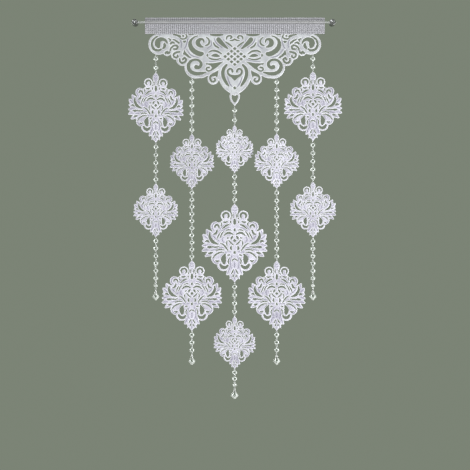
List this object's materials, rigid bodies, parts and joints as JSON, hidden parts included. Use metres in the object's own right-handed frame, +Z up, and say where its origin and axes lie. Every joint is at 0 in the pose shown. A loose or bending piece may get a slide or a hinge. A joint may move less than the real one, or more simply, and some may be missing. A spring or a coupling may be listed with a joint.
{
  "type": "openwork curtain panel with bead strings, on its curtain rod",
  "caption": "Cut-out cloth valance on a slim rod, with hanging bead strings that carry cut-out cloth medallions and end in clear drops.",
  "frame": {"origin": "on the rod's axis, on the centre line of the valance", "axes": "+X to the right along the rod as the hanging is seen, +Y back towards the wall or window, +Z up"},
  "size_m": [0.5974, 0.037, 1.0671],
  "materials": {
    "white_cloth": "matt stiffened cloth",
    "stone_mesh": "silver-grey faceted mesh",
    "chrome": "bright",
    "clear_glass": "clear faceted"
  },
  "bodies": {
    "root": {"rod": "chrome", "holder_left": "chrome", "holder_right": "chrome", "heading_band": "stone_mesh", "valance": "white_cloth", "medallion_outer_left_upper": "white_cloth", "medallion_outer_left_lower": "white_cloth", "medallion_outer_right_upper": "white_cloth", "medallion_outer_right_lower": "white_cloth", "medallion_inner_left_upper": "white_cloth", "medallion_inner_left_lower": "white_cloth", "medallion_inner_right_upper": "white_cloth", "medallion_inner_right_lower": "white_cloth", "medallion_centre_upper": "white_cloth", "medallion_centre_middle": "white_cloth", "medallion_centre_lower": "white_cloth", "beads_outer_left_1": "clear_glass", "beads_outer_left_2": "clear_glass", "beads_outer_left_3": "clear_glass", "drop_outer_left": "clear_glass", "beads_outer_right_1": "clear_glass", "beads_outer_right_2": "clear_glass", "beads_outer_right_3": "clear_glass", "drop_outer_right": "clear_glass", "beads_inner_left_1": "clear_glass", "beads_inner_left_2": "clear_glass", "beads_inner_left_3": "clear_glass", "drop_inner_left": "clear_glass", "beads_inner_right_1": "clear_glass", "beads_inner_right_2": "clear_glass", "beads_inner_right_3": "clear_glass", "drop_inner_right": "clear_glass", "beads_centre_1": "clear_glass", "beads_centre_2": "clear_glass", "beads_centre_3": "clear_glass", "beads_centre_4": "clear_glass", "drop_centre": "clear_glass"}
  },
  "joints": []
}
